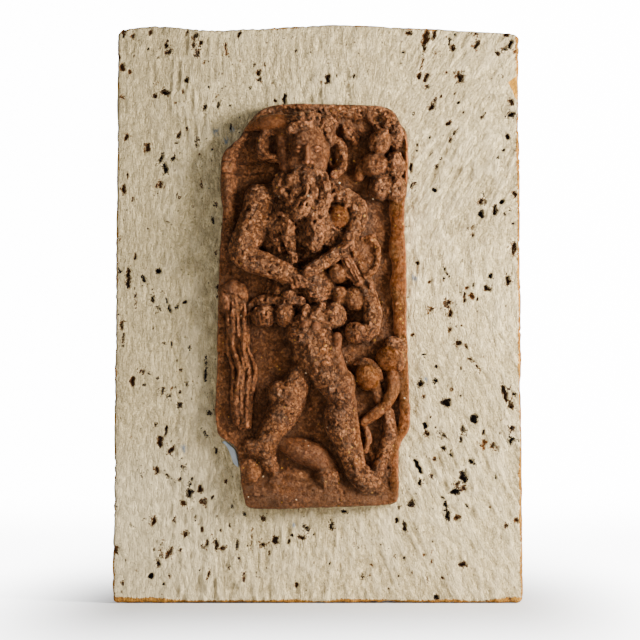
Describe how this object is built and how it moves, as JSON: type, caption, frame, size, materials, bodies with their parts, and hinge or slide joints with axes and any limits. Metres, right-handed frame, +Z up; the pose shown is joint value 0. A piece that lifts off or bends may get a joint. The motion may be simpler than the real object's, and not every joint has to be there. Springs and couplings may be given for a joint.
{
  "type": "terracotta relief plaque",
  "caption": "Modelled clay relief of a horned, bearded figure in stride with a stringed instrument, fixed on a white-painted cork slab that hangs on a wall.",
  "frame": {"origin": "middle of the flat back of the cork board, where it meets the wall", "axes": "+Z up along the plaque, +X to the right seen from the front, +Y into the wall, so the relief faces -Y"},
  "size_m": [0.286, 0.0492, 0.402],
  "materials": {
    "painted_cork": "rough off-white brushed paint over virgin cork, bare brown in the pits and at the edges",
    "terracotta": "unglazed red-brown fired clay, crumbly where it was pinched and waxed to a low sheen where it is smooth",
    "putty": "smooth grey-blue fixing putty"
  },
  "bodies": {
    "root": {"cork_board": "painted_cork", "terracotta_relief": "terracotta", "fixing_putty": "putty"}
  },
  "joints": []
}
